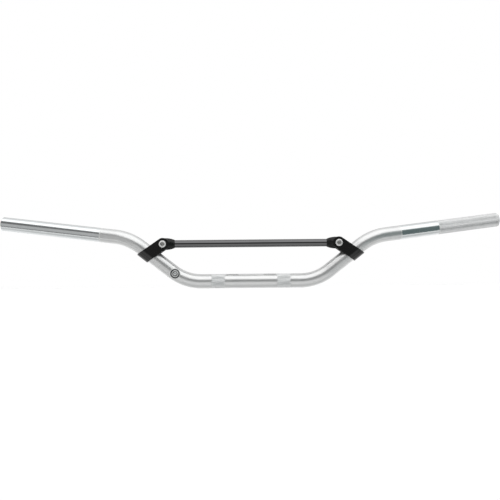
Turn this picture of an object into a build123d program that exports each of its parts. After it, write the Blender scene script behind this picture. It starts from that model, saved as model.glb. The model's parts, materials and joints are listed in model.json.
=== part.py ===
"""Off-road motorcycle handlebar: a bent 22.2 mm aluminium tube with a crossbar held by two strap clamps.

Millimetres, +Z up.  The origin is the middle of the tube's centre straight, on the tube's axis.
+X points to the rider's left, the clutch side, and +Y to the rear, the way the grips sweep back.
"""
import os
from math import cos, pi, radians, sin, tan

from build123d import *

os.makedirs("parts", exist_ok=True)

# ---------------------------------------------------------------- driving dimensions: bent tube
tube_diameter = 22.2
tube_wall = 4.0
centre_straight = 154.6
lower_bend_radius = 72.5
leg_angle = 38.08
leg_straight = 62.0
upper_bend_radius = 75.3
grip_rise_angle = 6.71
grip_sweep_angle = 15.92
grip_straight = 198.0
tube_end_chamfer = 1.0
bore_end_chamfer = 0.5

# riser seats: two knurled bands, each ended by a shallow run-out groove
seat_spacing = 102.0
seat_width = 20.5
groove_width = 0.8
groove_depth = 0.2

# ---------------------------------------------------------------- driving dimensions: crossbar
crossbar_diameter = 12.0
crossbar_wall = 2.0
lug_height = 18.3
lug_length = 18.2
lug_shoulder_start = 5.0
lug_taper_start = 4.5
lug_neck_radius = 6.25
spigot_length = 25.0
lug_to_tube_gap = 4.65
sleeve_wall = 1.9
sleeve_stand_out = 0.1

# ---------------------------------------------------------------- driving dimensions: strap clamps
strap_thickness = 2.0
strap_width = 19.0
strap_slope = 34.5
strap_margin_to_bend = 1.8

# ---------------------------------------------------------------- driving dimensions: fasteners
screw_diameter = 8.0
screw_length = 40.0
screw_end_chamfer = 1.0
screw_head_diameter = 10.8
screw_head_height = 5.0
screw_head_edge_radius = 1.2
socket_across_flats = 6.0
socket_depth = 3.0
socket_cone_depth = 1.2
washer_diameter = 16.0
washer_thickness = 1.6
nut_across_flats = 13.0
nut_height = 8.0
nut_hex_height = 6.2
nut_collar_diameter = 11.6
nut_corner_chamfer = 0.6
insert_diameter = 10.2
insert_height = 2.0
insert_lip = 0.4

# ---------------------------------------------------------------- driving dimensions: badge
badge_diameter = 16.6
badge_thickness = 0.15
badge_before_leg = 5.0

# ---------------------------------------------------------------- clearances
strap_clearance = 0.15
lug_side_clearance = 0.3
screw_clearance = 0.2
thread_clearance = 0.1
press_clearance = 0.02
head_clearance = 0.05
badge_clearance = 0.01

# ---------------------------------------------------------------- derived: the tube's path
tube_radius = tube_diameter / 2
bore_radius = tube_radius - tube_wall
SIDES = {"left": 1, "right": -1}


def leg_direction(side):
    """Unit vector up the leg on that side."""
    return Vector(side * cos(radians(leg_angle)), 0, sin(radians(leg_angle)))


def grip_direction(side):
    """Unit vector out along the grip straight on that side."""
    rise = radians(grip_rise_angle)
    sweep_back = radians(grip_sweep_angle)
    return Vector(side * cos(rise) * cos(sweep_back), cos(rise) * sin(sweep_back), sin(rise))


def lower_bend_start(side):
    return Vector(side * centre_straight / 2, 0, 0)


def leg_start(side):
    reach = lower_bend_radius * sin(radians(leg_angle))
    lift = lower_bend_radius * (1 - cos(radians(leg_angle)))
    return lower_bend_start(side) + Vector(side * reach, 0, lift)


def leg_end(side):
    return leg_start(side) + leg_direction(side) * leg_straight


def upper_bend(side):
    """Centre, axis direction and turning angle of the bend between leg and grip."""
    leg = leg_direction(side)
    grip = grip_direction(side)
    turn_axis = leg.cross(grip).normalized()
    centre = leg_end(side) + turn_axis.cross(leg).normalized() * upper_bend_radius
    return centre, turn_axis, leg.get_angle(grip)


def grip_start(side):
    centre, turn_axis, turn = upper_bend(side)
    return centre - turn_axis.cross(grip_direction(side)).normalized() * upper_bend_radius


def tube_tip(side):
    return grip_start(side) + grip_direction(side) * grip_straight


# ---------------------------------------------------------------- derived: strap and pivot places
lug_radius = lug_height / 2
strap_gap = tube_diameter + 2 * strap_clearance
strap_outer_radius = tube_radius + strap_clearance + strap_thickness
strap_face = strap_gap / 2 + strap_thickness
strap_skew = radians(leg_angle + strap_slope)
pivot_reach = (tube_radius + lug_to_tube_gap + lug_radius) / sin(strap_skew)
strap_half_footprint = strap_width / 2 / sin(strap_skew) + strap_outer_radius / tan(strap_skew)
strap_station = leg_straight - strap_margin_to_bend - strap_half_footprint
strap_length_from_screw = pivot_reach + strap_outer_radius / sin(strap_skew)
strap_blank_reach = tube_radius + lug_to_tube_gap + lug_radius + strap_width


def strap_direction(side):
    """Unit vector from the screw down across the tube, square to Y."""
    return Vector(side * cos(radians(strap_slope)), 0, -sin(radians(strap_slope)))


def strap_crossing(side):
    """Where the strap's middle line crosses the tube's axis."""
    return leg_start(side) + leg_direction(side) * strap_station


def pivot(side):
    """Middle of the screw's axis, which the crossbar's axis also passes through."""
    return strap_crossing(side) - strap_direction(side) * pivot_reach


pivot_height = pivot(1).Z
pivot_half_spacing = pivot(1).X
crossbar_half_length = pivot_half_spacing - lug_length
lug_thickness = strap_gap - 2 * lug_side_clearance
sleeve_bore_radius = screw_diameter / 2 + screw_clearance
sleeve_radius = sleeve_bore_radius + sleeve_wall
sleeve_length = lug_thickness + 2 * sleeve_stand_out
spigot_radius = crossbar_diameter / 2 - crossbar_wall - press_clearance


def write_part(finished, name):
    """Label a finished piece and write its STEP file."""
    finished.part.label = name
    export_step(finished.part, f"parts/{name}.step")


def straight_runs(side):
    """Start, direction and length of each straight run on that side."""
    return (
        (Vector(0, 0, 0), Vector(side, 0, 0), centre_straight / 2),
        (leg_start(side), leg_direction(side), leg_straight),
        (grip_start(side), grip_direction(side), grip_straight),
    )


def bends(side):
    """Start, direction there, turning axis and angle of each bend on that side."""
    lower_centre = lower_bend_start(side) + Vector(0, 0, lower_bend_radius)
    upper_centre, upper_axis, upper_angle = upper_bend(side)
    return (
        (lower_bend_start(side), Vector(side, 0, 0), Axis(lower_centre, (0, -side, 0)), leg_angle),
        (leg_end(side), leg_direction(side), Axis(upper_centre, upper_axis), upper_angle),
    )


# ---------------------------------------------------------------- handlebar tube
with BuildPart() as handlebar_tube:
    for side in SIDES.values():
        for start, direction, length in straight_runs(side):
            with BuildSketch(Plane(start, z_dir=direction)):
                Circle(tube_radius)
                Circle(bore_radius, mode=Mode.SUBTRACT)
            extrude(amount=length)
        for start, direction, turn_axis, turn_angle in bends(side):
            with BuildSketch(Plane(start, z_dir=direction)):
                Circle(tube_radius)
                Circle(bore_radius, mode=Mode.SUBTRACT)
            revolve(axis=turn_axis, revolution_arc=turn_angle)
        end_edges = handlebar_tube.edges().sort_by_distance(tube_tip(side))
        chamfer(end_edges[0], bore_end_chamfer)
        rim_edges = handlebar_tube.edges().filter_by(GeomType.CIRCLE).filter_by(
            lambda edge: abs(edge.radius - tube_radius) < groove_depth
        )
        chamfer(rim_edges.sort_by_distance(tube_tip(side))[0], tube_end_chamfer)
        for groove_side in (-1, 1):
            groove_middle = side * seat_spacing / 2 + groove_side * (seat_width + groove_width) / 2
            with BuildSketch(Plane.YZ.offset(groove_middle)):
                Circle(tube_radius + groove_width)
                Circle(tube_radius - groove_depth, mode=Mode.SUBTRACT)
            extrude(amount=groove_width / 2, both=True, mode=Mode.SUBTRACT)
write_part(handlebar_tube, "handlebar_tube")

# ---------------------------------------------------------------- crossbar tube
crossbar_axis_plane = Plane((0, 0, pivot_height), x_dir=(0, 1, 0), z_dir=(1, 0, 0))
with BuildPart() as crossbar_tube:
    with BuildSketch(crossbar_axis_plane):
        Circle(crossbar_diameter / 2)
        Circle(crossbar_diameter / 2 - crossbar_wall, mode=Mode.SUBTRACT)
    extrude(amount=crossbar_half_length, both=True)
write_part(crossbar_tube, "crossbar_tube")

for side_name, side in SIDES.items():
    pivot_point = pivot(side)
    pivot_plane = Plane(pivot_point, x_dir=(-side, 0, 0), z_dir=(0, side, 0))

    # ------------------------------------------------------------ moulded end lug
    with BuildPart() as crossbar_lug:
        with BuildSketch(pivot_plane):
            with BuildLine():
                Line((0, 0), (0, lug_thickness / 2))
                Line((0, lug_thickness / 2), (lug_shoulder_start, lug_thickness / 2))
                TangentArc(
                    (lug_shoulder_start, lug_thickness / 2),
                    (lug_length, lug_neck_radius),
                    tangent=(1, 0),
                )
                Line((lug_length, lug_neck_radius), (lug_length, 0))
                Line((lug_length, 0), (0, 0))
            make_face()
        revolve(axis=Axis(pivot_point, (1, 0, 0)))
        with BuildSketch(pivot_plane):
            with BuildLine():
                Line((0, 0), (0, lug_radius))
                Line((0, lug_radius), (lug_taper_start, lug_radius))
                TangentArc((lug_taper_start, lug_radius), (lug_length, lug_neck_radius), tangent=(1, 0))
                Line((lug_length, lug_neck_radius), (lug_length, 0))
                Line((lug_length, 0), (0, 0))
            make_face()
            mirror(about=Plane.XZ)
        extrude(amount=lug_thickness, both=True, mode=Mode.INTERSECT)
        with BuildSketch(pivot_plane):
            Circle(lug_radius)
        extrude(amount=lug_thickness / 2, both=True)
        with BuildSketch(Plane(pivot_point, z_dir=(-side, 0, 0)).offset(lug_length)):
            Circle(spigot_radius)
        extrude(amount=spigot_length)
        with BuildSketch(pivot_plane):
            Circle(sleeve_radius + press_clearance)
        extrude(amount=lug_thickness, both=True, mode=Mode.SUBTRACT)
    write_part(crossbar_lug, f"crossbar_lug_{side_name}")

    # ------------------------------------------------------------ steel sleeve in the lug's eye
    with BuildPart() as lug_sleeve:
        with BuildSketch(pivot_plane):
            Circle(sleeve_radius)
            Circle(sleeve_bore_radius, mode=Mode.SUBTRACT)
        extrude(amount=sleeve_length / 2, both=True)
    write_part(lug_sleeve, f"lug_sleeve_{side_name}")

    # ------------------------------------------------------------ bent strap clamp
    strap_plane = Plane(strap_crossing(side), x_dir=(0, side, 0), z_dir=leg_direction(side))
    outline_plane = Plane(pivot_point, x_dir=strap_direction(side), z_dir=(0, -1, 0))
    with BuildPart() as crossbar_clamp:
        # the bent section, open towards the screw, drawn long enough to be trimmed to its outline
        with BuildSketch(strap_plane):
            Circle(strap_outer_radius)
            with Locations((0, strap_blank_reach / 2)):
                Rectangle(2 * strap_outer_radius, strap_blank_reach)
            Circle(strap_gap / 2, mode=Mode.SUBTRACT)
            with Locations((0, strap_blank_reach / 2)):
                Rectangle(strap_gap, strap_blank_reach, mode=Mode.SUBTRACT)
        extrude(amount=2 * strap_length_from_screw, both=True)
        # the outline seen from the front: round at the screw, then straight across the tube
        with BuildSketch(outline_plane):
            Circle(strap_width / 2)
            with Locations((strap_length_from_screw, 0)):
                Rectangle(2 * strap_length_from_screw, strap_width)
            Circle(sleeve_bore_radius, mode=Mode.SUBTRACT)
        extrude(amount=2 * strap_face, both=True, mode=Mode.INTERSECT)
    write_part(crossbar_clamp, f"crossbar_clamp_{side_name}")

    # ------------------------------------------------------------ clamp screw, head to the front
    head_seat = Plane(pivot_point, x_dir=(1, 0, 0), z_dir=(0, -1, 0)).offset(strap_face + head_clearance)
    with BuildPart() as clamp_screw:
        with BuildSketch(head_seat):
            Circle(screw_head_diameter / 2)
        extrude(amount=screw_head_height)
        fillet(clamp_screw.faces().sort_by(Axis.Y)[0].edges(), screw_head_edge_radius)
        with BuildSketch(head_seat):
            Circle(screw_diameter / 2)
        extrude(amount=-screw_length)
        chamfer(clamp_screw.faces().sort_by(Axis.Y)[-1].edges(), screw_end_chamfer)
        with BuildSketch(head_seat.offset(screw_head_height)):
            RegularPolygon(socket_across_flats / 2, 6, major_radius=False)
        extrude(amount=-socket_depth, mode=Mode.SUBTRACT)
        with BuildSketch(head_seat.offset(screw_head_height - socket_depth)):
            Circle(socket_across_flats / 2)
        extrude(amount=-socket_cone_depth, taper=60, mode=Mode.SUBTRACT)
    write_part(clamp_screw, f"clamp_screw_{side_name}")

    # ------------------------------------------------------------ washer, lock nut and its insert
    washer_seat = Plane(pivot_point, x_dir=(1, 0, 0), z_dir=(0, 1, 0)).offset(strap_face)
    with BuildPart() as washer:
        with BuildSketch(washer_seat):
            Circle(washer_diameter / 2)
            Circle(screw_diameter / 2 + screw_clearance, mode=Mode.SUBTRACT)
        extrude(amount=washer_thickness)
    write_part(washer, f"washer_{side_name}")

    nut_seat = washer_seat.offset(washer_thickness)
    insert_floor = nut_height - insert_lip - insert_height
    with BuildPart() as lock_nut:
        with BuildSketch(nut_seat):
            RegularPolygon(nut_across_flats / 2, 6, major_radius=False)
        extrude(amount=nut_hex_height)
        with BuildSketch(nut_seat):
            Circle(nut_across_flats / 2 / cos(pi / 6) - nut_corner_chamfer / 2)
        extrude(amount=nut_hex_height, mode=Mode.INTERSECT)
        with BuildSketch(nut_seat.offset(nut_hex_height)):
            Circle(nut_collar_diameter / 2)
        extrude(amount=nut_height - nut_hex_height)
        with BuildSketch(nut_seat):
            Circle(screw_diameter / 2 + thread_clearance)
        extrude(amount=nut_height, mode=Mode.SUBTRACT)
        with BuildSketch(nut_seat.offset(insert_floor)):
            Circle(insert_diameter / 2 + press_clearance)
        extrude(amount=insert_height, mode=Mode.SUBTRACT)
        with BuildSketch(nut_seat.offset(insert_floor + insert_height)):
            Circle(insert_diameter / 2 - insert_lip)
        extrude(amount=insert_lip, mode=Mode.SUBTRACT)
    write_part(lock_nut, f"lock_nut_{side_name}")

    with BuildPart() as nut_insert:
        with BuildSketch(nut_seat.offset(insert_floor)):
            Circle(insert_diameter / 2)
            Circle(screw_diameter / 2 + thread_clearance / 2, mode=Mode.SUBTRACT)
        extrude(amount=insert_height)
    write_part(nut_insert, f"nut_insert_{side_name}")

# ---------------------------------------------------------------- badge on the right lower bend
badge_turn = radians(leg_angle) - badge_before_leg / lower_bend_radius
badge_centre = lower_bend_start(-1) + Vector(
    -lower_bend_radius * sin(badge_turn), 0, lower_bend_radius * (1 - cos(badge_turn))
)
bend_start, bend_direction, bend_axis, bend_angle = bends(-1)[0]
with BuildPart() as badge_decal:
    # a thin skin over the bend and the start of the leg, then cut to a disc seen from the front
    with BuildSketch(Plane(bend_start, z_dir=bend_direction)):
        Circle(tube_radius + badge_clearance + badge_thickness)
        Circle(tube_radius + badge_clearance, mode=Mode.SUBTRACT)
    revolve(axis=bend_axis, revolution_arc=bend_angle)
    with BuildSketch(Plane(leg_start(-1), z_dir=leg_direction(-1))):
        Circle(tube_radius + badge_clearance + badge_thickness)
        Circle(tube_radius + badge_clearance, mode=Mode.SUBTRACT)
    extrude(amount=badge_diameter)
    with BuildSketch(Plane(badge_centre, x_dir=(1, 0, 0), z_dir=(0, -1, 0))):
        Circle(badge_diameter / 2)
    extrude(amount=tube_diameter, mode=Mode.INTERSECT)
write_part(badge_decal, "badge_decal")
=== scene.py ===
import json
import math

import bmesh
import bpy
from mathutils import Matrix, Quaternion, Vector


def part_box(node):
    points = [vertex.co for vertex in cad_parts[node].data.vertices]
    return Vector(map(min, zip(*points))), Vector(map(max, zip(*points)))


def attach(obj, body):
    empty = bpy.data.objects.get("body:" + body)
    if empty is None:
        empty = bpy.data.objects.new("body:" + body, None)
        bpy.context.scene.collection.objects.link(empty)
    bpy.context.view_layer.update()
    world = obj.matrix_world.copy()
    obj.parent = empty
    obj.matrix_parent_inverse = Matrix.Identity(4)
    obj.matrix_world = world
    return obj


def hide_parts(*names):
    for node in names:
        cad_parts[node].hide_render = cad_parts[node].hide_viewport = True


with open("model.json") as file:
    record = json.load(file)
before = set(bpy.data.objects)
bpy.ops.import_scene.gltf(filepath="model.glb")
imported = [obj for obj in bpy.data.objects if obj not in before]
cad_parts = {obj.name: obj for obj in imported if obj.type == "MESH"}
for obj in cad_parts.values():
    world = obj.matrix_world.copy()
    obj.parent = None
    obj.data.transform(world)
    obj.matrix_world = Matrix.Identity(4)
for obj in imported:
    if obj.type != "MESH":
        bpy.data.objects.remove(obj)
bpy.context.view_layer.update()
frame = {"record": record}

record = frame["record"]
mounts = {mount["name"]: mount for mount in record["mounts"]}
joints = {joint["name"]: joint for joint in record["behaviour"]["joints"]}

MM = 0.001
X_AXIS = Vector((1, 0, 0))
Y_AXIS = Vector((0, 1, 0))
Z_AXIS = Vector((0, 0, 1))
SIDES = {"left": 1, "right": -1}

# ---------------------------------------------------------------- sizes of the bar
tube_radius = mounts["centre_span"]["dims"]["r_mm"] * MM
bore_radius = mounts["bar_end_bore_left"]["dims"]["r_mm"] * MM
centre_half = 77.3 * MM
lower_bend_radius = 72.5 * MM
leg_straight = 62.0 * MM
upper_bend_radius = 75.3 * MM
rim_chamfer = 1.0 * MM
bore_chamfer = 0.5 * MM
grip_straight = mounts["grip_seat_left"]["dims"]["length_mm"] * MM + rim_chamfer
seat_inner = 40.75 * MM
seat_width = mounts["riser_seat_left"]["dims"]["length_mm"] * MM
groove_width = 0.8 * MM
groove_depth = 0.2 * MM
groove_wall = 0.1 * MM
mid_wall = (tube_radius + bore_radius) / 2

# finish zones, measured along the grip straight from the end of its bend
mask_line_start = 22.5 * MM
polish_start = 24.0 * MM
knurl_start = 89.0 * MM
knurl_depth = 0.22 * MM

# etched clamp scale on the centre straight
SCALE_START = 19.8 * MM
SCALE_END = 38.2 * MM
SCALE_PITCH = 1.5 * MM
SCALE_LINE = 0.6 * MM
SCALE_BOTTOM = 0.84 * tube_radius
SCALE_TOP = 0.985 * tube_radius

# how much longer than wide the draw marks on the polished grips are
DRAW_MARK_STRETCH = 0.02

# mesh fineness
TUBE_SEGMENTS = 120
BEND_STEPS = 26
U_BEND_STEPS = 36
LUG_SEGMENTS = 96
ROUND_SEGMENTS = 72
TURNED_SEGMENTS = 64

# points nearer than this are merged, and points nearer than TOUCH count as touching
MERGE_DISTANCE = 0.002 * MM
TOUCH = 0.01 * MM
# room between two pieces that fit together
FIT_GAP = 0.02 * MM

# ---------------------------------------------------------------- sizes of the crossbar and its fittings
pivot_left = Vector(joints["crossbar_tilt"]["pos_m"])
pivot_height = pivot_left.z
crossbar_low, crossbar_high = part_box("crossbar_tube")
crossbar_radius = (crossbar_high.z - crossbar_low.z) / 2
crossbar_half = crossbar_high.x
lug_low, lug_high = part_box("crossbar_lug_left")
lug_thickness = lug_high.y - lug_low.y
lug_radius = (lug_high.z - lug_low.z) / 2
lug_length = pivot_left.x - crossbar_half
lug_shoulder_start = 5.0 * MM
lug_taper_start = 4.5 * MM
lug_neck_radius = 6.25 * MM
lug_edge_round = 0.5 * MM
spigot_length = 25.0 * MM
crossbar_wall = 2.0 * MM
spigot_radius = crossbar_radius - crossbar_wall - FIT_GAP
spigot_chamfer = 0.6 * MM
eye_radius = 6.12 * MM
strap_hole_radius = 4.2 * MM

strap_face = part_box("crossbar_clamp_left")[1].y
strap_thickness = 2.0 * MM
strap_width = 19.0 * MM
strap_slope = math.radians(34.5)
strap_edge_round = 0.3 * MM

screw_low, screw_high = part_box("clamp_screw_left")
screw_radius = 4.0 * MM
screw_head_radius = (screw_high.z - screw_low.z) / 2
screw_head_height = 5.0 * MM
screw_head_round = 1.2 * MM
screw_edge_break = 0.2 * MM
screw_neck_fillet = 0.15 * MM
screw_end_chamfer = 1.0 * MM
screw_seat = screw_low.y + screw_head_height
screw_length = screw_high.y - screw_seat
thread_pitch = 1.25 * MM
thread_turns = 15
thread_depth = 0.62 * MM
# where in one pitch the crest ends, the root starts and ends, and the next crest starts
thread_stations = (0.10, 0.45, 0.60, 0.95)
socket_across_flats = 6.0 * MM
socket_depth = 3.0 * MM
drill_point_radius = 2.95 * MM
drill_point_tip = 0.9 * MM
drill_point_depth = 1.2 * MM
washer_low, washer_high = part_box("washer_left")
nut_low, nut_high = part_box("lock_nut_left")
insert_low, insert_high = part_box("nut_insert_left")
nut_across_flats = nut_high.z - nut_low.z
nut_height = nut_high.y - nut_low.y
nut_hex_height = 6.2 * MM
nut_collar_radius = 5.8 * MM
nut_insert_radius = 5.1 * MM
nut_bore_radius = 4.1 * MM
nut_bore_chamfer = 0.5 * MM
nut_corner_break = 0.3 * MM
nut_face_break = 0.15 * MM
nut_lip = 0.4 * MM
nut_collar_root = 0.5 * MM
# the collar's crimped top, as (below the top, in from the collar's side)
nut_crimp = ((0.7 * MM, 0), (0.2 * MM, 0.3 * MM), (0, 0.8 * MM))

badge_low, badge_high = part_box("badge_decal")
badge_radius = (badge_high.x - badge_low.x) / 2
badge_centre = (badge_low + badge_high) / 2
badge_trim = 0.03 * MM
badge_rings = 7
badge_ring_width = 1.0 * MM
badge_film = 0.12 * MM
badge_stand_off = 5.0 * MM


def leg_direction(side):
    """Unit vector up the leg on that side."""
    up_left = Vector(joints["clamp_left_slide"]["axis"]).normalized()
    return Vector((side * up_left.x, 0, up_left.z))


def grip_direction(side):
    """Unit vector out along the grip straight on that side."""
    return Vector(mounts["grip_seat_left" if side > 0 else "grip_seat_right"]["axis"]).normalized()


# ---------------------------------------------------------------- bench tools
def only(piece):
    """Selects one piece and nothing else."""
    bpy.ops.object.select_all(action="DESELECT")
    piece.select_set(True)
    bpy.context.view_layer.objects.active = piece


def start_edit():
    bpy.ops.object.mode_set(mode="EDIT")
    bpy.ops.mesh.select_mode(type="VERT")


def end_edit():
    bpy.ops.object.mode_set(mode="OBJECT")


def pick(piece, kind, test):
    """In edit mode, selects only the vertices, edges or faces that pass the test."""
    bpy.ops.mesh.select_mode(type=kind)
    bpy.ops.mesh.select_all(action="DESELECT")
    mesh = bmesh.from_edit_mesh(piece.data)
    for element in {"VERT": mesh.verts, "EDGE": mesh.edges, "FACE": mesh.faces}[kind]:
        if test(element):
            element.select_set(True)
    bmesh.update_edit_mesh(piece.data)


def turn_to(direction, twist=0):
    """Rotation that points a primitive's own Z along the direction."""
    return (Vector(direction).to_track_quat("Z", "Y") @ Quaternion(Z_AXIS, twist)).to_euler()


def add_ring(centre, direction, radius, segments, fill="NOTHING", twist=0):
    bpy.ops.object.select_all(action="DESELECT")
    bpy.ops.mesh.primitive_circle_add(
        vertices=segments, radius=radius, fill_type=fill, location=centre, rotation=turn_to(direction, twist)
    )
    ring = bpy.context.object
    bpy.ops.object.transform_apply(location=True, rotation=True, scale=True)
    return ring


def draw_out(step, steps=1):
    """Extrudes the selected ring by that step, once or many times."""
    for _ in range(steps):
        bpy.ops.mesh.extrude_region_move(TRANSFORM_OT_translate={"value": step})


def set_ring_radius(old, new, centre):
    scale = new / old
    bpy.ops.transform.resize(value=(scale, scale, scale), center_override=centre)


def tidy_shell():
    """In edit mode, closes seams and points every face outwards."""
    bpy.ops.mesh.select_all(action="SELECT")
    bpy.ops.mesh.remove_doubles(threshold=MERGE_DISTANCE)
    bpy.ops.mesh.normals_make_consistent(inside=False)


def turned(name, start, axis, profile, segments=TURNED_SEGMENTS, closed=False):
    """A lathe-turned piece. The profile is a list of (distance along the axis, radius).

    An open profile is capped at both ends, and a closed one comes back to its first point.
    """
    along, radius = profile[0]
    piece = add_ring(start + axis * along, axis, radius, segments)
    start_edit()
    bpy.ops.mesh.select_all(action="SELECT")
    if not closed:
        bpy.ops.mesh.edge_face_add()
    for next_along, next_radius in profile[1:]:
        draw_out(axis * (next_along - along))
        set_ring_radius(radius, next_radius, start + axis * next_along)
        along, radius = next_along, next_radius
    tidy_shell()
    end_edit()
    piece.name = piece.data.name = name
    return piece


def ring_profile(length, inner, outer, broken):
    """Closed outline of a ring or tube with lightly broken edges."""
    profile = [(0, inner + broken), (0, outer - broken), (broken, outer), (length - broken, outer)]
    profile += [(length, outer - broken), (length, inner + broken), (length - broken, inner)]
    return profile + [(broken, inner), (0, inner + broken)]


def carve(piece, tool, operation):
    """Applies a boolean with the tool, and throws the tool away."""
    only(piece)
    boolean = piece.modifiers.new("carve", "BOOLEAN")
    boolean.operation = operation
    boolean.solver = "EXACT"
    boolean.object = tool
    bpy.ops.object.modifier_apply(modifier=boolean.name)
    bpy.data.objects.remove(tool, do_unlink=True)


def break_edges(piece, width, segments=3, angle=35):
    """Rounds every sharp edge of a finished shape."""
    only(piece)
    bevel = piece.modifiers.new("broken edges", "BEVEL")
    bevel.width = width
    bevel.segments = segments
    bevel.limit_method = "ANGLE"
    bevel.angle_limit = math.radians(angle)
    bpy.ops.object.modifier_apply(modifier=bevel.name)


def join(pieces, name):
    """Joins pieces into the first one."""
    bpy.ops.object.select_all(action="DESELECT")
    for piece in pieces:
        piece.select_set(True)
    bpy.context.view_layer.objects.active = pieces[0]
    bpy.ops.object.join()
    pieces[0].name = pieces[0].data.name = name
    return pieces[0]


def smooth(piece, angle=32):
    """Smooth shading that keeps sharp edges sharp and broad faces flat."""
    only(piece)
    bpy.ops.object.shade_smooth_by_angle(angle=math.radians(angle))
    weighted = piece.modifiers.new("flat faces stay flat", "WEIGHTED_NORMAL")
    weighted.keep_sharp = True
    bpy.ops.object.modifier_apply(modifier=weighted.name)


def put_on(piece, body, slot, *nodes):
    """The piece rides on its body and stands for its CAD nodes, which are hidden. The slot is not used."""
    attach(piece, body)
    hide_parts(*nodes)


def right_copy(piece, half_turn):
    """A copy with its own mesh, slid across to the right or turned half round the middle."""
    only(piece)
    bpy.ops.object.duplicate(linked=False)
    copy = bpy.context.object
    if half_turn:
        bpy.ops.transform.rotate(value=math.pi, orient_axis="Z", center_override=(0, 0, 0))
    else:
        bpy.ops.transform.translate(value=(-2 * pivot_left.x, 0, 0))
    bpy.ops.object.transform_apply(location=True, rotation=True, scale=True)
    copy.name = copy.data.name = piece.name.replace("left", "right")
    return copy


def put_on_both(piece, body, slot, node, half_turn=False):
    """Puts on a left-hand piece and its right-hand copy, with left changed to right in the names."""
    copy = right_copy(piece, half_turn)
    put_on(piece, body, slot, node)
    put_on(copy, body.replace("left", "right"), slot, node.replace("left", "right"))


# ---------------------------------------------------------------- finishes
def grey(level):
    return (level, level, level)


class Nodes:
    """A small helper that lays out the nodes of a material or of the studio's light."""

    def __init__(self, tree):
        self.nodes = tree.nodes
        self.links = tree.links

    def link(self, source, target):
        self.links.new(source, target)

    def feed(self, socket, value):
        """Links a socket's output to the input, or sets the input to a plain value."""
        if isinstance(value, bpy.types.NodeSocket):
            self.link(value, socket)
        else:
            socket.default_value = value

    def math(self, operation, first, second=0.0):
        node = self.nodes.new("ShaderNodeMath")
        node.operation = operation
        self.feed(node.inputs[0], first)
        self.feed(node.inputs[1], second)
        return node.outputs["Value"]

    def vector_math(self, operation, first, second=(0, 0, 0)):
        node = self.nodes.new("ShaderNodeVectorMath")
        node.operation = operation
        self.feed(node.inputs[0], first)
        self.feed(node.inputs[1], second)
        return node

    def apart(self, vector):
        """The vector's X, Y and Z."""
        node = self.nodes.new("ShaderNodeSeparateXYZ")
        self.link(vector, node.inputs["Vector"])
        return node.outputs

    def ramp(self, value, stops):
        ramp = self.nodes.new("ShaderNodeValToRGB")
        elements = ramp.color_ramp.elements
        while len(elements) < len(stops):
            elements.new(0.5)
        for element, (position, colour) in zip(elements, stops):
            element.position = position
            element.color = (*colour, 1)
        self.link(value, ramp.inputs["Fac"])
        return ramp.outputs["Color"]

    def share(self, value, low, high, interpolation="LINEAR"):
        """How far the value has come from low to high, from 0 to 1."""
        share = self.nodes.new("ShaderNodeMapRange")
        share.inputs["From Min"].default_value = low
        share.inputs["From Max"].default_value = high
        share.interpolation_type = interpolation
        self.link(value, share.inputs["Value"])
        return share.outputs["Result"]

    def mix(self, factor, first, second):
        node = self.nodes.new("ShaderNodeMix")
        node.data_type = "RGBA"
        self.link(factor, node.inputs["Factor"])
        sockets = [socket for socket in node.inputs if socket.type == "RGBA"]
        for socket, value in zip(sockets, (first, second)):
            self.feed(socket, (*value, 1) if isinstance(value, tuple) else value)
        return [socket for socket in node.outputs if socket.type == "RGBA"][0]


class Finish(Nodes):
    """One material, with its principled shader."""

    def __init__(self, name):
        self.material = bpy.data.materials.new(name)
        self.material.use_nodes = True
        super().__init__(self.material.node_tree)
        self.shader = self.nodes["Principled BSDF"]
        self.place = self.nodes.new("ShaderNodeTexCoord").outputs["Object"]

    def set(self, **values):
        for socket, value in values.items():
            self.shader.inputs[socket.replace("_", " ")].default_value = value
        return self

    def shifted(self, location=(0, 0, 0), rotation=(0, 0, 0), scale=(1, 1, 1)):
        mapping = self.nodes.new("ShaderNodeMapping")
        mapping.inputs["Location"].default_value = location
        mapping.inputs["Rotation"].default_value = rotation
        mapping.inputs["Scale"].default_value = scale
        self.link(self.place, mapping.inputs["Vector"])
        return mapping.outputs["Vector"]

    def noise(self, scale, detail=3.0, roughness=0.5, vector=None):
        noise = self.nodes.new("ShaderNodeTexNoise")
        noise.inputs["Scale"].default_value = scale
        noise.inputs["Detail"].default_value = detail
        noise.inputs["Roughness"].default_value = roughness
        self.link(vector or self.place, noise.inputs["Vector"])
        return noise.outputs["Fac"]

    def spread(self, value, low, high):
        spread = self.nodes.new("ShaderNodeMapRange")
        spread.inputs["To Min"].default_value = low
        spread.inputs["To Max"].default_value = high
        self.link(value, spread.inputs["Value"])
        return spread.outputs["Result"]

    def colour(self, source):
        self.link(source, self.shader.inputs["Base Color"])
        return self

    def roughness(self, source):
        self.link(source, self.shader.inputs["Roughness"])
        return self

    def bump(self, height, strength, distance):
        bump = self.nodes.new("ShaderNodeBump")
        bump.inputs["Strength"].default_value = strength
        bump.inputs["Distance"].default_value = distance
        self.link(height, bump.inputs["Height"])
        self.link(bump.outputs["Normal"], self.shader.inputs["Normal"])
        return self


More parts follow.
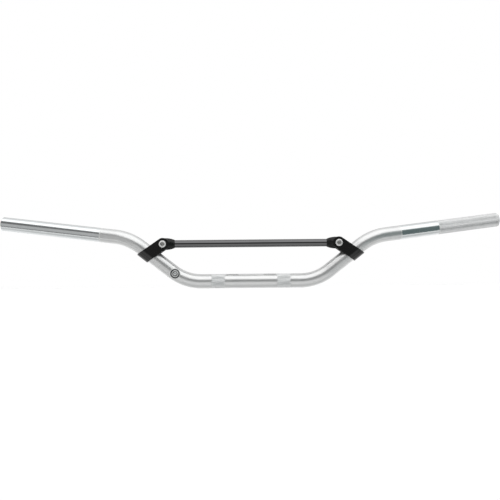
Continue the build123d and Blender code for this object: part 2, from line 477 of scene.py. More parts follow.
def satin_anodised():
    """Blasted and clear-anodised aluminium, with an etched clamp scale either side of the middle."""
    finish = Finish("satin anodised aluminium").set(Metallic=0.80)
    clouds = finish.noise(60, 4)
    grain = finish.noise(2600, 2, 0.6)
    silver = finish.ramp(clouds, [(0.3, (0.655, 0.66, 0.66)), (0.7, (0.69, 0.695, 0.69))])
    x, y, z = finish.apart(finish.place)
    out = finish.math("ABSOLUTE", x)
    tick_step = finish.math("FRACT", finish.math("DIVIDE", out, SCALE_PITCH))
    marks = finish.math("LESS_THAN", tick_step, SCALE_LINE / SCALE_PITCH)
    limits = [("GREATER_THAN", out, SCALE_START), ("LESS_THAN", out, SCALE_END), ("LESS_THAN", y, 0.0)]
    limits += [("GREATER_THAN", z, SCALE_BOTTOM), ("LESS_THAN", z, SCALE_TOP)]
    for operation, value, limit in limits:
        marks = finish.math("MULTIPLY", marks, finish.math(operation, value, limit))
    finish.colour(finish.mix(marks, silver, (0.12, 0.125, 0.125)))
    finish.roughness(finish.spread(clouds, 0.28, 0.34))
    finish.bump(grain, 0.10, 0.02 * MM)
    return finish


def polished(name, direction):
    """Bare aluminium polished along the bar, with fine draw marks down its length."""
    finish = Finish(name).set(Metallic=1.0)
    turn = direction.to_track_quat("X", "Z").inverted().to_euler()
    lengthwise = finish.vector_math("MULTIPLY", finish.shifted(rotation=turn), (DRAW_MARK_STRETCH, 1, 1))
    marks = finish.noise(1500, 3, 0.6, lengthwise.outputs["Vector"])
    haze = finish.noise(90, 3, 0.5)
    finish.colour(finish.ramp(haze, [(0.3, (0.66, 0.685, 0.69)), (0.7, (0.71, 0.73, 0.735))]))
    finish.roughness(finish.spread(marks, 0.10, 0.18))
    finish.bump(marks, 0.10, 0.015 * MM)
    return finish


def knurled(name, metallic, low, high):
    """A rolled knurl: matte, a little uneven where the wheel has worn."""
    finish = Finish(name).set(Metallic=metallic)
    wear = finish.noise(300, 4, 0.6)
    worn = (low, low * 1.01, low * 1.01)
    fresh = (high, high * 1.01, high * 1.01)
    finish.colour(finish.ramp(wear, [(0.3, worn), (0.7, fresh)]))
    finish.roughness(finish.spread(wear, 0.30, 0.42))
    return finish


def masked_line():
    """The narrow matte line where the anodising stops."""
    finish = Finish("anodising edge").set(Metallic=1.0)
    blotches = finish.noise(900, 3)
    finish.colour(finish.ramp(blotches, [(0.3, (0.72, 0.73, 0.72)), (0.7, (0.80, 0.80, 0.79))]))
    finish.roughness(finish.spread(blotches, 0.45, 0.55))
    return finish


def bored():
    """The drawn inside of the tube, dull and streaked."""
    finish = Finish("drawn bore").set(Metallic=1.0)
    streaks = finish.noise(400, 4, 0.6)
    finish.colour(finish.ramp(streaks, [(0.3, (0.40, 0.41, 0.41)), (0.7, (0.55, 0.56, 0.56))]))
    finish.roughness(finish.spread(streaks, 0.35, 0.55))
    return finish


def black_anodised():
    """Dyed and sealed aluminium, black and glossy."""
    finish = Finish("black anodised aluminium").set(Metallic=1.0)
    draw_marks = finish.noise(900, 3, 0.6, finish.shifted(scale=(0.03, 1, 1)))
    finish.colour(finish.ramp(draw_marks, [(0.3, (0.120, 0.120, 0.122)), (0.7, (0.140, 0.140, 0.143))]))
    finish.roughness(finish.spread(draw_marks, 0.03, 0.07))
    finish.bump(draw_marks, 0.05, 0.02 * MM)
    return finish


def black_powder():
    """Powder-coated steel: black, a little orange peel."""
    finish = Finish("black powder coat").set(Specular_IOR_Level=0.6)
    peel = finish.noise(1100, 2, 0.5)
    speckle = finish.noise(5200, 2, 0.5)
    finish.colour(finish.ramp(speckle, [(0.35, grey(0.001)), (0.75, grey(0.003))]))
    finish.roughness(finish.spread(peel, 0.14, 0.22))
    finish.bump(peel, 0.12, 0.03 * MM)
    return finish


def black_nylon():
    """Glass-filled nylon: mottled black with a soft sheen."""
    finish = Finish("black glass-filled nylon").set(Specular_IOR_Level=0.28)
    mottle = finish.noise(420, 5, 0.65)
    fibres = finish.noise(3000, 3, 0.6)
    finish.colour(finish.ramp(mottle, [(0.35, grey(0.002)), (0.62, grey(0.006)), (0.8, grey(0.02))]))
    finish.roughness(finish.spread(mottle, 0.22, 0.48))
    finish.bump(fibres, 0.2, 0.03 * MM)
    return finish


def zinc(name, tint, gloss, metallic=1.0):
    """Bright zinc plate over steel."""
    finish = Finish(name).set(Metallic=metallic)
    bloom = finish.noise(500, 4, 0.6)
    dulled = tuple(part * 0.92 for part in tint)
    finish.colour(finish.ramp(bloom, [(0.3, dulled), (0.7, tint)]))
    finish.roughness(finish.spread(bloom, gloss, gloss + 0.1))
    finish.bump(finish.noise(2200, 2), 0.08, 0.02 * MM)
    return finish


def natural_nylon():
    """Undyed nylon, milky and a little cloudy."""
    finish = Finish("natural nylon").set(Specular_IOR_Level=0.4, Subsurface_Weight=0.1)
    cloud = finish.noise(700, 3)
    finish.colour(finish.ramp(cloud, [(0.3, (0.62, 0.62, 0.55)), (0.7, (0.72, 0.72, 0.66))]))
    finish.roughness(finish.spread(cloud, 0.35, 0.5))
    return finish


def badge_print():
    """Plain printed rings on a clear-coated film, with a white margin."""
    finish = Finish("badge print").set(Coat_Weight=0.6, Coat_Roughness=0.12)
    flat = finish.shifted(location=-badge_centre)
    squash = finish.vector_math("MULTIPLY", flat, (1, 0, 1))
    length = finish.vector_math("LENGTH", squash.outputs["Vector"])
    ring_place = finish.math("DIVIDE", length.outputs["Value"], badge_radius)
    dark = (0.022, 0.026, 0.028)
    pale = (0.80, 0.81, 0.80)
    middle = (0.25, 0.27, 0.27)
    stops = [(0.0, middle), (0.16, pale), (0.30, dark), (0.50, pale), (0.62, dark), (0.90, pale)]
    rings = finish.ramp(ring_place, stops)
    rings.node.color_ramp.interpolation = "CONSTANT"
    finish.colour(rings)
    finish.roughness(finish.spread(finish.noise(1500, 2), 0.25, 0.4))
    return finish


satin = satin_anodised()
polish = {}
for word, side in SIDES.items():
    polish[side] = polished(f"polished aluminium {word}", grip_direction(side))
knurl = knurled("bare knurl", 0.9, 0.60, 0.70)
seat_knurl = knurled("anodised knurl", 0.5, 0.74, 0.82)
mask_line = masked_line()
bore = bored()
anodised_black = black_anodised()
powder = black_powder()
nylon = black_nylon()
bright_zinc = zinc("bright zinc", (0.86, 0.86, 0.85), 0.32, 0.5)
# a darker copy of the bright zinc: painted shade for the screws' sockets
painted_shade_zinc = zinc("zinc in the socket", (0.50, 0.50, 0.49), 0.35, 0.5)
nut_zinc = zinc("zinc nut", (0.70, 0.71, 0.71), 0.26)
insert_nylon = natural_nylon()
badge = badge_print()


# ---------------------------------------------------------------- the bent tube
def bends(side):
    """(centre, axis, angle) of the lower and upper bends, turning outwards along the bar."""
    leg = leg_direction(side)
    grip = grip_direction(side)
    lower_start = X_AXIS * side * centre_half
    lower_centre = lower_start + Z_AXIS * lower_bend_radius
    lower_axis = Y_AXIS * -side
    lower_angle = (X_AXIS * side).angle(leg)
    leg_start = lower_centre + Matrix.Rotation(lower_angle, 3, lower_axis) @ (lower_start - lower_centre)
    leg_end = leg_start + leg * leg_straight
    upper_axis = leg.cross(grip).normalized()
    upper_centre = leg_end + upper_axis.cross(leg).normalized() * upper_bend_radius
    return (lower_centre, lower_axis, lower_angle), (upper_centre, upper_axis, leg.angle(grip))


def grip_start(side):
    """Where the upper bend ends and the grip straight starts."""
    centre, axis, _ = bends(side)[1]
    return centre - axis.cross(grip_direction(side)).normalized() * upper_bend_radius


def bend_ring(bend, way=1):
    """Carries the selected ring round a bend, outwards or back."""
    centre, axis, angle = bend
    bpy.ops.mesh.spin(steps=BEND_STEPS, angle=angle, center=centre, axis=axis * -way, use_auto_merge=False)


def knurl_steps(length):
    """An even number of rows that keeps the diamonds square."""
    return 2 * round(length / (2 * math.pi * tube_radius / TUBE_SEGMENTS) / 2)


def bar_half(side):
    """Half of the tube, drawn out from the middle to the end and back along its bore."""
    outwards = X_AXIS * side
    leg = leg_direction(side)
    grip = grip_direction(side)
    lower, upper = bends(side)
    end = grip_start(side) + grip * grip_straight
    half = add_ring((0, 0, 0), X_AXIS, tube_radius, TUBE_SEGMENTS)
    start_edit()
    bpy.ops.mesh.select_all(action="SELECT")

    draw_out(outwards * (seat_inner - groove_width))
    for length in (groove_wall, groove_width - 2 * groove_wall, groove_wall):
        draw_out(outwards * length)
    rows = knurl_steps(seat_width)
    draw_out(outwards * seat_width / rows, rows)
    for length in (groove_wall, groove_width - 2 * groove_wall, groove_wall):
        draw_out(outwards * length)
    draw_out(outwards * (centre_half - seat_inner - seat_width - groove_width))

    bend_ring(lower)
    draw_out(leg * leg_straight)
    bend_ring(upper)
    draw_out(grip * mask_line_start)
    draw_out(grip * (polish_start - mask_line_start))
    draw_out(grip * (knurl_start - polish_start))
    knurl_length = grip_straight - rim_chamfer - knurl_start
    rows = knurl_steps(knurl_length) if side > 0 else 1
    draw_out(grip * knurl_length / rows, rows)

    draw_out(grip * rim_chamfer)
    set_ring_radius(tube_radius, tube_radius - rim_chamfer, end)
    # the flat rim is drawn in place and then made smaller
    draw_out(grip * 0)
    set_ring_radius(tube_radius - rim_chamfer, bore_radius + bore_chamfer, end)
    draw_out(grip * -bore_chamfer)
    set_ring_radius(bore_radius + bore_chamfer, bore_radius, end - grip * bore_chamfer)
    draw_out(grip * (bore_chamfer - grip_straight))
    bend_ring(upper, -1)
    draw_out(leg * -leg_straight)
    bend_ring(lower, -1)
    draw_out(outwards * -centre_half)
    end_edit()
    return half


def from_axis(point):
    """Distance of a point from the centre straight's axis."""
    return math.hypot(point.y, point.z)


def cut_grooves(bar):
    """Sinks the run-out grooves beside the knurled seats."""
    start_edit()
    for side in SIDES.values():
        for seat_edge, outwards in ((seat_inner, -1), (seat_inner + seat_width, 1)):
            middle = side * (seat_edge + outwards * groove_width / 2)
            half_floor = groove_width / 2 - groove_wall
            pick(
                bar,
                "VERT",
                lambda v: abs(v.co.x - middle) < half_floor + groove_wall / 2 and from_axis(v.co) > mid_wall,
            )
            scale = 1 - groove_depth / tube_radius
            bpy.ops.transform.resize(value=(1, scale, scale), center_override=(middle, 0, 0))
    end_edit()


def roll_knurl(bar, start, axis, length, spoke):
    """Presses every other point of the zone inwards and folds the faces into diamonds.

    The spoke is the direction from the axis to one of the ring's points.
    """
    cross = axis.cross(spoke)
    rows = knurl_steps(length)
    slack = 0.25 * length / rows

    def across(point):
        offset = point - start
        return offset - axis * offset.dot(axis)

    def in_zone(point):
        along = (point - start).dot(axis)
        on_skin = abs(across(point).length - tube_radius) < knurl_depth / 4
        return -slack < along < length + slack and on_skin

    def pressed(vertex):
        if not in_zone(vertex.co):
            return False
        radial = across(vertex.co)
        row = round((vertex.co - start).dot(axis) / length * rows)
        column = round(math.atan2(radial.dot(cross), radial.dot(spoke)) / (2 * math.pi) * TUBE_SEGMENTS)
        return 0 < row < rows and (row + column) % 2 == 1

    start_edit()
    pick(bar, "FACE", lambda f: all(in_zone(v.co) for v in f.verts))
    zone = {f.index for f in bmesh.from_edit_mesh(bar.data).faces if f.select}
    pick(bar, "VERT", pressed)
    bpy.ops.transform.shrink_fatten(value=-knurl_depth)
    pick(bar, "FACE", lambda f: f.index in zone)
    bpy.ops.mesh.quads_convert_to_tris(quad_method="SHORTEST_DIAGONAL", ngon_method="BEAUTY")
    end_edit()


def grip_spoke(side):
    """Direction of one of the ring's points, carried from the centre through both bends."""
    spoke = Z_AXIS.copy()
    for _, axis, angle in bends(side):
        spoke = Matrix.Rotation(angle, 3, axis) @ spoke
    return spoke


def zone_of(point):
    """The finish at a point of the tube's skin."""
    side = 1 if point.x > 0 else -1
    grip = grip_direction(side)
    offset = point - grip_start(side)
    along = offset.dot(grip)
    if along > 0:
        out = (offset - grip * along).length
        if out < bore_radius + bore_chamfer:
            return bore
        if along > knurl_start and side > 0:
            return knurl if along < grip_straight - rim_chamfer else polish[side]
        if along > polish_start:
            return polish[side]
        return mask_line if along > mask_line_start else satin
    on_centre = abs(point.x) < centre_half
    if on_centre and from_axis(point) < mid_wall:
        return bore
    if on_centre and seat_inner < abs(point.x) < seat_inner + seat_width:
        return seat_knurl
    return satin


def finish_zones(bar):
    """Gives each face of the tube the finish of its zone."""
    zones = [satin, polish[1], polish[-1], knurl, seat_knurl, mask_line, bore]
    for zone in zones:
        bar.data.materials.append(zone.material)
    slot_of = {zone: index for index, zone in enumerate(zones)}
    for face in bar.data.polygons:
        face.material_index = slot_of[zone_of(face.center)]


def make_bar():
    bar = join([bar_half(1), bar_half(-1)], "bar_tube")
    only(bar)
    start_edit()
    tidy_shell()
    end_edit()
    cut_grooves(bar)
    for side in SIDES.values():
        roll_knurl(bar, X_AXIS * side * seat_inner, X_AXIS * side, seat_width, Z_AXIS)
    grip = grip_direction(1)
    knurl_length = grip_straight - rim_chamfer - knurl_start
    roll_knurl(bar, grip_start(1) + grip * knurl_start, grip, knurl_length, grip_spoke(1))
    finish_zones(bar)
    smooth(bar, 25)
    put_on(bar, "bar", "satin_aluminium", "handlebar_tube")
    return bar


bar_tube = make_bar()


# ---------------------------------------------------------------- the crossbar
def make_crossbar():
    """A straight tube with lightly broken rims, bored right through."""
    start = Vector((-crossbar_half, 0, pivot_height))
    inner = crossbar_radius - crossbar_wall
    broken = 0.3 * MM
    profile = ring_profile(2 * crossbar_half, inner, crossbar_radius, broken)
    tube = turned("crossbar_tube_piece", start, X_AXIS, profile, closed=True)
    tube.data.materials.append(anodised_black.material)
    smooth(tube)
    put_on(tube, "crossbar", "black_anodised", "crossbar_tube")


def tapered(start, start_radius, end, end_radius, steps=12):
    """Profile points on an arc that leaves the start square and narrows to the end."""
    reach = end - start
    drop = start_radius - end_radius
    arc = (reach * reach + drop * drop) / (2 * drop)
    last_angle = math.asin(reach / arc)
    angles = [last_angle * step / steps for step in range(steps + 1)]
    return [(start + arc * math.sin(a), start_radius - arc * (1 - math.cos(a))) for a in angles]


def lug_front_outline(centre, inwards, deep):
    """A block with the lug's outline seen from the front, flat behind the screw."""
    points = [(-2 * lug_radius, lug_radius)]
    points += tapered(lug_taper_start, lug_radius, lug_length, lug_neck_radius)
    points += [(lug_length + spigot_length + 1 * MM, lug_neck_radius)]
    along, half = points[0]
    start = centre + inwards * along - Y_AXIS * deep
    upright = (math.pi / 2, 0, 0)
    bpy.ops.object.select_all(action="DESELECT")
    bpy.ops.mesh.primitive_plane_add(size=2 * half, location=start + inwards * half, rotation=upright)
    block = bpy.context.object
    bpy.ops.object.transform_apply(location=True, rotation=True, scale=True)
    start_edit()
    # only the first upright edge stays, and it is drawn along station by station
    pick(block, "VERT", lambda v: (v.co - start).dot(inwards) > half)
    bpy.ops.mesh.delete(type="VERT")
    bpy.ops.mesh.select_all(action="SELECT")
    for next_along, next_half in points[1:]:
        draw_out(inwards * (next_along - along))
        bpy.ops.transform.resize(value=(1, 1, next_half / half), center_override=centre)
        along, half = next_along, next_half
    bpy.ops.mesh.select_all(action="SELECT")
    draw_out(Y_AXIS * 2 * deep)
    tidy_shell()
    end_edit()
    return block


def make_lugs():
    """The moulded ends: a flat-sided eye that narrows to a round neck and a spigot."""
    centre = pivot_left
    inwards = -X_AXIS
    half = lug_thickness / 2
    profile = [(0, half)] + tapered(lug_shoulder_start, half, lug_length, lug_neck_radius)
    spigot_end = lug_length + spigot_length
    profile += [(lug_length, spigot_radius), (spigot_end - spigot_chamfer, spigot_radius)]
    profile += [(spigot_end, spigot_radius - spigot_chamfer)]
    lug = turned("crossbar_lug_left_piece", centre, inwards, profile, LUG_SEGMENTS)
    carve(lug, lug_front_outline(centre, inwards, 2 * half), "INTERSECT")

    # the eye round the screw, and its bore
    eye_profile = [(-half, lug_radius), (half, lug_radius)]
    carve(lug, turned("eye", centre, Y_AXIS, eye_profile, LUG_SEGMENTS), "UNION")
    reach = half + 2 * MM
    carve(lug, turned("eye bore", centre, Y_AXIS, [(-reach, eye_radius), (reach, eye_radius)]), "DIFFERENCE")
    break_edges(lug, lug_edge_round, 3, 25)
    lug.data.materials.append(nylon.material)
    smooth(lug)
    put_on_both(lug, "crossbar", "black_nylon", "crossbar_lug_left", half_turn=True)


def make_sleeves():
    """The steel sleeves that the screws pull up against."""
    low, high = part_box("lug_sleeve_left")
    outer = (high.z - low.z) / 2
    broken = 0.25 * MM
    profile = ring_profile(high.y - low.y, strap_hole_radius, outer, broken)
    start = Vector((pivot_left.x, low.y, pivot_height))
    sleeve = turned("lug_sleeve_left_piece", start, Y_AXIS, profile, closed=True)
    sleeve.data.materials.append(nut_zinc.material)
    smooth(sleeve)
    put_on_both(sleeve, "crossbar", "zinc_steel", "lug_sleeve_left")


# ---------------------------------------------------------------- the strap clamps
def strap_direction():
    """Unit vector from the left screw down across the leg."""
    return Vector((math.cos(strap_slope), 0, -math.sin(strap_slope)))


def strap_crossing():
    """Where the left strap's middle line meets the leg's axis."""
    leg = leg_direction(1)
    leg_start = bends(1)[0][0] - leg.cross(Y_AXIS) * lower_bend_radius
    strap = strap_direction()
    offset = leg_start - pivot_left
    # solve pivot + strap * a = leg_start + leg * b in the XZ plane
    bottom = strap.x * leg.z - strap.z * leg.x
    reach = (offset.x * leg.z - offset.z * leg.x) / bottom
    return pivot_left + strap * reach


def strap_outline(half_width, depth):
    """The strap seen from the front: round at the screw, then straight past the leg."""
    centre = pivot_left
    along = strap_direction()
    outline = add_ring(centre - Y_AXIS * depth, Y_AXIS, half_width, ROUND_SEGMENTS)
    start_edit()
    pick(outline, "VERT", lambda v: (v.co - centre).dot(along) > TOUCH)
    bpy.ops.transform.translate(value=along * 4 * strap_width)
    bpy.ops.mesh.select_all(action="SELECT")
    bpy.ops.mesh.edge_face_add()
    draw_out(Y_AXIS * 2 * depth)
    tidy_shell()
    end_edit()
    return outline


def make_straps():
    """Flat strips bent in a U round the legs, trimmed to their outline and drilled."""
    leg = leg_direction(1)
    crossing = strap_crossing()
    down = Y_AXIS.cross(leg)
    reach = 5 * strap_width
    length = 6 * strap_width
    bpy.ops.object.select_all(action="DESELECT")
    bpy.ops.mesh.primitive_plane_add(size=1)
    strap = bpy.context.object
    # the strip's end section: its thickness lies along Y and its long side along the leg
    frame_axes = Matrix((Y_AXIS, leg, Y_AXIS.cross(leg))).transposed().to_4x4()
    section = Matrix.Diagonal((strap_thickness, length, 1, 1))
    middle = crossing - down * reach + Y_AXIS * (strap_face - strap_thickness / 2)
    strap.matrix_world = Matrix.Translation(middle) @ frame_axes @ section
    bpy.ops.object.transform_apply(location=True, rotation=True, scale=True)
    start_edit()
    bpy.ops.mesh.select_all(action="SELECT")
    draw_out(down * reach)
    bpy.ops.mesh.spin(steps=U_BEND_STEPS, angle=math.pi, center=crossing, axis=leg, use_auto_merge=False)
    draw_out(-down * reach)
    tidy_shell()
    end_edit()
    carve(strap, strap_outline(strap_width / 2, 2 * strap_face), "INTERSECT")
    drill_start = pivot_left - Y_AXIS * 2 * strap_face
    drill = [(0, strap_hole_radius), (4 * strap_face, strap_hole_radius)]
    carve(strap, turned("drill", drill_start, Y_AXIS, drill), "DIFFERENCE")
    break_edges(strap, strap_edge_round, 2)
    strap.data.materials.append(powder.material)
    strap.name = strap.data.name = "strap_left_piece"
    smooth(strap)
    put_on_both(strap, "clamp_left", "black_coated_steel", "crossbar_clamp_left", half_turn=True)


# ---------------------------------------------------------------- the fasteners
def hexagon(name, start, axis, across_flats, length):
    """A six-sided bar with flats on top and bottom."""
    bar = add_ring(start, axis, across_flats / 2 / math.cos(math.pi / 6), 6, twist=math.pi / 6)
    start_edit()
    bpy.ops.mesh.select_all(action="SELECT")
    bpy.ops.mesh.edge_face_add()
    draw_out(axis * length)
    tidy_shell()
    end_edit()
    bar.name = name
    return bar


def thread_profile(start):
    """Crests and roots of a rolled thread, turn by turn."""
    root_radius = screw_radius - thread_depth
    radii = (screw_radius, root_radius, root_radius, screw_radius)
    points = []
    for turn in range(thread_turns):
        foot = start + turn * thread_pitch
        points += [(foot + share * thread_pitch, radius) for share, radius in zip(thread_stations, radii)]
    return points


def screw_profile():
    """From the head's face over its rounded rim, and back along the shank to the end."""
    front = -screw_head_height
    crown = screw_head_radius - screw_head_round
    profile = [(front, crown)]
    for angle in map(math.radians, (18, 36, 54, 72, 90)):
        along = front + screw_head_round - screw_head_round * math.cos(angle)
        profile.append((along, crown + screw_head_round * math.sin(angle)))
    profile += [(-screw_edge_break, screw_head_radius), (0, screw_head_radius - screw_edge_break)]
    profile += [(0, screw_radius + screw_neck_fillet), (screw_neck_fillet, screw_radius)]
    thread_end = screw_length - screw_end_chamfer
    profile += thread_profile(thread_end - thread_turns * thread_pitch)
    return profile + [(thread_end, screw_radius), (screw_length, screw_radius - screw_end_chamfer)]


def cut_socket(screw, face):
    """Sinks the hexagon socket and its drill point, and breaks the socket's rim."""
    key = hexagon("key", face - Y_AXIS * MM, Y_AXIS, socket_across_flats, socket_depth + MM)
    carve(screw, key, "DIFFERENCE")
    floor = face + Y_AXIS * (socket_depth - TOUCH)
    point = [(0, drill_point_radius), (drill_point_depth, drill_point_tip)]
    carve(screw, turned("drill point", floor, Y_AXIS, point), "DIFFERENCE")

    def on_rim(edge):
        at_face = all(abs(v.co.y - face.y) < TOUCH for v in edge.verts)
        return at_face and all((v.co - face).length < socket_across_flats * 0.6 for v in edge.verts)

    start_edit()
    pick(screw, "EDGE", on_rim)
    bpy.ops.mesh.bevel(offset=screw_edge_break, segments=2, affect="EDGES")
    end_edit()


def plate_screw(screw, face):
    """Bright plate outside, and a darker copy of the plate down in the socket as painted shade."""
    deepest = socket_depth + drill_point_depth + 0.3 * MM
    widest = socket_across_flats / 2 + 0.5 * MM
    screw.data.materials.clear()
    screw.data.materials.append(bright_zinc.material)
    screw.data.materials.append(painted_shade_zinc.material)
    for plane in screw.data.polygons:
        depth = plane.center.y - face.y
        reach = math.hypot(plane.center.x - face.x, plane.center.z - face.z)
        # faces down in the socket take the darker copy, as painted shade
        plane.material_index = int(screw_edge_break + 0.05 * MM < depth < deepest and reach < widest)


def make_screws():
    """Low-head socket screws: rounded head, plain shank, rolled thread and a chamfered end."""
    seat = Vector((pivot_left.x, screw_seat, pivot_height))
    face = seat - Y_AXIS * screw_head_height
    screw = turned("clamp_screw_left_piece", seat, Y_AXIS, screw_profile(), ROUND_SEGMENTS)
    cut_socket(screw, face)
    plate_screw(screw, face)
    smooth(screw, 28)
    put_on_both(screw, "screw_left", "zinc_steel", "clamp_screw_left")


def make_washers():
    """Pressed washers: one edge rolled over, one edge sharp."""
    start = Vector((pivot_left.x, washer_low.y, pivot_height))
    outer = (washer_high.z - washer_low.z) / 2
    inner = strap_hole_radius
    thick = washer_high.y - washer_low.y
    roll = 0.5 * MM
    broken = 0.12 * MM
    profile = [(0, inner + broken), (0, outer - broken), (broken, outer), (thick - roll, outer)]
    profile += [(thick - roll * 0.3, outer - roll * 0.3), (thick, outer - roll), (thick, inner + roll * 0.6)]
    profile += [(thick - roll * 0.6, inner), (broken, inner), (0, inner + broken)]
    washer = turned("washer_left_piece", start, Y_AXIS, profile, closed=True)
    washer.data.materials.append(nut_zinc.material)
    smooth(washer)
    put_on_both(washer, "clamp_left", "zinc_steel", "washer_left")


def make_nuts():
    """Lock nuts: chamfered hexagon, a collar crimped over the insert, and a bore."""
    seat = Vector((pivot_left.x, nut_low.y, pivot_height))
    nut = hexagon("lock_nut_left_piece", seat, Y_AXIS, nut_across_flats, nut_hex_height)
    nut.data.name = nut.name
    corner = nut_across_flats / 2 / math.cos(math.pi / 6) - nut_corner_break
    flat = nut_across_flats / 2 - nut_face_break
    slope = (corner - flat) / 2
    blank = [(-TOUCH, flat), (slope, corner)]
    blank += [(nut_hex_height - slope, corner), (nut_hex_height + TOUCH, flat)]
    carve(nut, turned("blank", seat, Y_AXIS, blank), "INTERSECT")
    top = nut_height - nut_hex_height
    collar = [(-nut_collar_root, nut_collar_radius)]
    collar += [(top - below, nut_collar_radius - inset) for below, inset in nut_crimp]
    carve(nut, turned("collar", seat + Y_AXIS * nut_hex_height, Y_AXIS, collar), "UNION")
    bore_reach = nut_height + MM
    insert_floor = insert_low.y - nut_low.y
    insert_top = insert_high.y - nut_low.y
    seat_radius = nut_insert_radius + FIT_GAP
    lip_radius = nut_insert_radius - nut_lip
    tool = [(-MM, nut_bore_radius + nut_bore_chamfer + MM), (nut_bore_chamfer, nut_bore_radius)]
    tool += [(insert_floor, nut_bore_radius), (insert_floor, seat_radius)]
    tool += [(insert_top, seat_radius), (insert_top, lip_radius), (bore_reach, lip_radius)]
    carve(nut, turned("bore tool", seat, Y_AXIS, tool), "DIFFERENCE")
    nut.data.materials.append(nut_zinc.material)
    smooth(nut, 28)
    put_on_both(nut, "clamp_left", "zinc_steel", "lock_nut_left")


def make_inserts():
    """The nylon ring inside each lock nut."""
    start = Vector((pivot_left.x, insert_low.y, pivot_height))
    inner = screw_radius + 0.05 * MM
    broken = 0.15 * MM
    profile = ring_profile(insert_high.y - insert_low.y, inner, nut_insert_radius, broken)
    ring = turned("nut_insert_left_piece", start, Y_AXIS, profile, closed=True)
    ring.data.materials.append(insert_nylon.material)
    smooth(ring)
    put_on_both(ring, "clamp_left", "insert_nylon", "nut_insert_left")


make_crossbar()
make_lugs()
make_sleeves()
make_straps()
make_screws()
make_washers()
make_nuts()
make_inserts()


# ---------------------------------------------------------------- the badge
def make_badge():
    """A thin round film pressed onto the bend: a ringed disc drawn onto the tube's skin."""
    front = Vector((badge_centre.x, badge_low.y - badge_stand_off, badge_centre.z))
    film = add_ring(front, -Y_AXIS, badge_radius - badge_trim, ROUND_SEGMENTS, "NGON")
    start_edit()
    bpy.ops.mesh.select_all(action="SELECT")
    for _ in range(badge_rings):
        bpy.ops.mesh.inset(thickness=badge_ring_width, depth=0)
    bpy.ops.mesh.poke()
    end_edit()
    pressed = film.modifiers.new("pressed on", "SHRINKWRAP")
    pressed.target = bar_tube
    pressed.wrap_method = "PROJECT"
    pressed.use_project_y = True
    pressed.use_negative_direction = True
    pressed.use_positive_direction = True
    pressed.offset = FIT_GAP
    bpy.ops.object.modifier_apply(modifier=pressed.name)
    thick = film.modifiers.new("film", "SOLIDIFY")
    thick.thickness = badge_film
    thick.offset = 1
    bpy.ops.object.modifier_apply(modifier=thick.name)
    start_edit()
    tidy_shell()
    end_edit()
    film.name = film.data.name = "badge_film"
    film.data.materials.append(badge.material)
    smooth(film, 40)
    put_on(film, "bar", "badge_print", "badge_decal")


make_badge()


# ---------------------------------------------------------------- camera, floor and light
CAMERA_DISTANCE = 1.5
CAMERA_HEIGHT = 48.0 * MM
FOCAL_LENGTH = 69.12
BAR_YAW = math.radians(0.33)
BAR_ROLL = math.radians(0.52)
FRAMING = Vector((-1.25 * MM, 0, 0.2 * MM))
SENSOR_WIDTH = 36
FLOOR_DROP = 0.6
FLOOR_FRONT = 0.45
FLOOR_SIZE = 16
FLOOR_THICKNESS = 0.02
# the painted shadow on the floor: darker by distance from under the bar, longer sideways
PAINTED_SHADOW_INNER = 0.22
PAINTED_SHADOW_OUTER = 0.45
PAINTED_SHADOW_NARROWING = 0.28


def set_camera():
    camera = bpy.data.objects.new("camera", bpy.data.cameras.new("camera"))
    bpy.context.scene.collection.objects.link(camera)
    yaw = Matrix.Rotation(-BAR_YAW, 4, "Z")
    upright = Matrix.Rotation(math.pi / 2, 4, "X")
    roll = Matrix.Rotation(-BAR_ROLL, 4, "Z")
    place = Matrix.Translation(Vector((0, -CAMERA_DISTANCE, CAMERA_HEIGHT)) + FRAMING)
    camera.matrix_world = yaw @ place @ upright @ roll
    camera.data.lens = FOCAL_LENGTH
    camera.data.sensor_width = SENSOR_WIDTH
    camera.data.clip_start = 0.01
    camera.data.clip_end = 100
    bpy.context.scene.camera = camera


def set_floor():
    """A plain pale floor from just in front of the bar, with a painted shadow darkening it below the bar."""
    bpy.ops.object.select_all(action="DESELECT")
    middle = (0, FLOOR_SIZE / 2 - FLOOR_FRONT, -FLOOR_DROP)
    bpy.ops.mesh.primitive_plane_add(size=FLOOR_SIZE, location=middle)
    floor = bpy.context.object
    floor.name = "floor"
    start_edit()
    bpy.ops.mesh.select_all(action="SELECT")
    draw_out(Z_AXIS * -FLOOR_THICKNESS)
    tidy_shell()
    end_edit()
    bpy.ops.object.transform_apply(location=True, rotation=True, scale=True)
    paper = Finish("floor paper").set(Roughness=0.9, Specular_IOR_Level=0.1)
    from_middle = paper.vector_math("LENGTH", paper.shifted(scale=(PAINTED_SHADOW_NARROWING, 1, 0)))
    # painted shadow: the floor's colour is darker under the bar and pales outwards
    painted_shadow = [(PAINTED_SHADOW_INNER, grey(0.64)), (PAINTED_SHADOW_OUTER, grey(0.98))]
    paper.colour(paper.ramp(from_middle.outputs["Value"], painted_shadow))
    paper.roughness(paper.spread(paper.noise(40), 0.85, 0.95))
    floor.data.materials.append(paper.material)


SOFTBOX = 1.65
# the side panels' soft edge starts and ends this far out to the side
PANEL_EDGE_START = 0.13
PANEL_EDGE_END = 0.21
# the panels draw back above and below the level, so that the sloping legs don't see them
PANEL_SLOPE_ABOVE = 0.5
PANEL_SLOPE_BELOW = -0.7


def light_band(light, name, stops, turn):
    """One band of the studio's light: brightness against the angle up from straight ahead."""
    places = []
    for degrees, colour in stops:
        if not isinstance(colour, tuple):
            colour = grey(colour)
        places.append(((degrees + 180) / 360, [part / SOFTBOX for part in colour]))
    band = light.ramp(turn, places)
    band.node.label = name
    return band


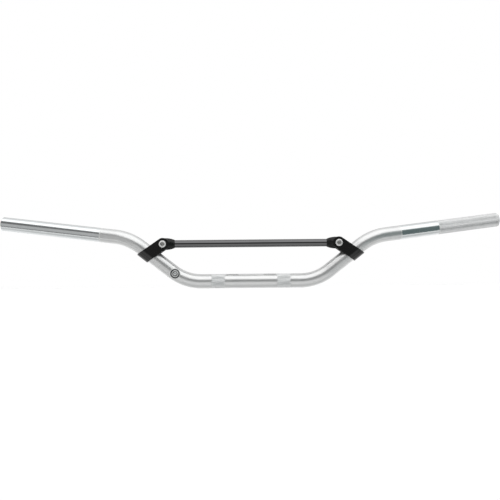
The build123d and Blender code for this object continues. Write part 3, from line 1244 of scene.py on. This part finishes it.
def light_bands(light, turn):
    """The centre band and the grey and dark side panels, in (degrees, brightness)."""
    middle = [(-180, 0.90), (-150, 0.80), (-114, 0.76), (-60, 0.90), (-40, 0.98), (-15, 0.98)]
    middle += [(-10, 0.20), (26, 0.20), (32, 1.65), (92, 1.65), (104, 1.0), (140, 0.90)]
    middle += [(165, 0.45), (180, 0.45)]
    left = [(-180, 0.90), (-114, 0.75), (-60, 0.80), (-55, 0.28), (-40, 0.28), (-30, 0.54), (16, 0.56)]
    left += [(24, 0.20), (58, 0.18), (80, 1.5), (98, 1.5), (106, 0.45), (150, 0.50), (180, 0.40)]
    teal = (0.16, 0.20, 0.20)
    deep_teal = (0.14, 0.18, 0.18)
    right = [(-180, 0.90), (-114, 0.75), (-60, 0.82), (-55, teal), (-20, deep_teal), (34, teal)]
    right += [(52, 1.5), (96, 1.5), (106, 0.5), (150, 0.50), (180, 0.40)]
    bands = (("centre", middle), ("grey panel", left), ("dark panel", right))
    return [light_band(light, name, stops, turn) for name, stops in bands]


def show_white(light, background):
    """The eye sees only plain white behind the bar."""
    plain = light.nodes.new("ShaderNodeBackground")
    plain.inputs["Color"].default_value = (1, 1, 1, 1)
    seen = light.nodes.new("ShaderNodeLightPath")
    choose = light.nodes.new("ShaderNodeMixShader")
    light.link(seen.outputs["Is Camera Ray"], choose.inputs["Fac"])
    light.link(background.outputs["Background"], choose.inputs[1])
    light.link(plain.outputs["Background"], choose.inputs[2])
    light.link(choose.outputs["Shader"], light.nodes["World Output"].inputs["Surface"])


def set_light():
    """A white overhead softbox, a darker front, and one grey and one dark side panel."""
    world = bpy.data.worlds.new("studio")
    bpy.context.scene.world = world
    world.use_nodes = True
    light = Nodes(world.node_tree)
    x, y, z = light.apart(light.nodes.new("ShaderNodeTexCoord").outputs["Generated"])
    angle = light.math("ARCTAN2", z, light.math("MULTIPLY", y, -1.0))
    colour, left, right = light_bands(light, light.share(angle, -math.pi, math.pi))

    # the panels stand out to each side, and not where the sloping legs look
    upwards = light.math("MULTIPLY", light.math("MAXIMUM", z, 0.0), PANEL_SLOPE_ABOVE)
    downwards = light.math("MULTIPLY", light.math("MINIMUM", z, 0.0), PANEL_SLOPE_BELOW)
    steepness = light.math("ADD", upwards, downwards)
    for sideways, panel in ((-1.0, left), (1.0, right)):
        outwards = light.math("SUBTRACT", light.math("MULTIPLY", x, sideways), steepness)
        edge = light.share(outwards, PANEL_EDGE_START, PANEL_EDGE_END, "SMOOTHSTEP")
        colour = light.mix(edge, colour, panel)
    background = light.nodes["Background"]
    light.link(colour, background.inputs["Color"])
    background.inputs["Strength"].default_value = SOFTBOX
    show_white(light, background)


set_camera()
set_floor()
set_light()
bpy.context.scene.view_settings.view_transform = "Standard"
